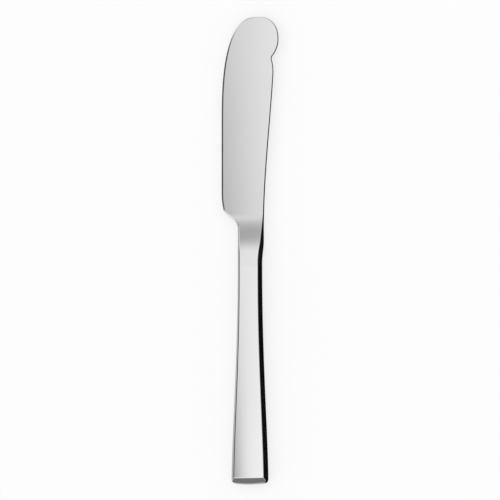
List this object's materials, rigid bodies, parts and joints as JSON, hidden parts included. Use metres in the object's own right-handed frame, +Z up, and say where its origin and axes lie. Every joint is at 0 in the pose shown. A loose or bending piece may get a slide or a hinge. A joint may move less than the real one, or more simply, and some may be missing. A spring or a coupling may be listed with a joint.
{
  "type": "butter knife",
  "caption": "Butter knife with a broad rounded blade, a notched tip on the spine side, a short neck and a tapered hollow handle with bevelled edges.",
  "frame": {"origin": "centre of the bounding box's bottom face: the middle of the knife's length and width, on the surface it rests on", "axes": "+Y along the knife from the butt to the tip, +X towards the blade's spine with the cutting edge facing -X, +Z up from the table, out of the upper face"},
  "size_m": [0.021, 0.17, 0.006],
  "materials": {
    "blade_steel": "polished",
    "handle_steel": "polished",
    "filler_metal": "satin",
    "cement": "matte"
  },
  "bodies": {
    "root": {"blade": "blade_steel", "handle_front_shell": "handle_steel", "handle_back_shell": "handle_steel", "seam_braze": "filler_metal", "tang_cement": "cement"}
  },
  "joints": []
}
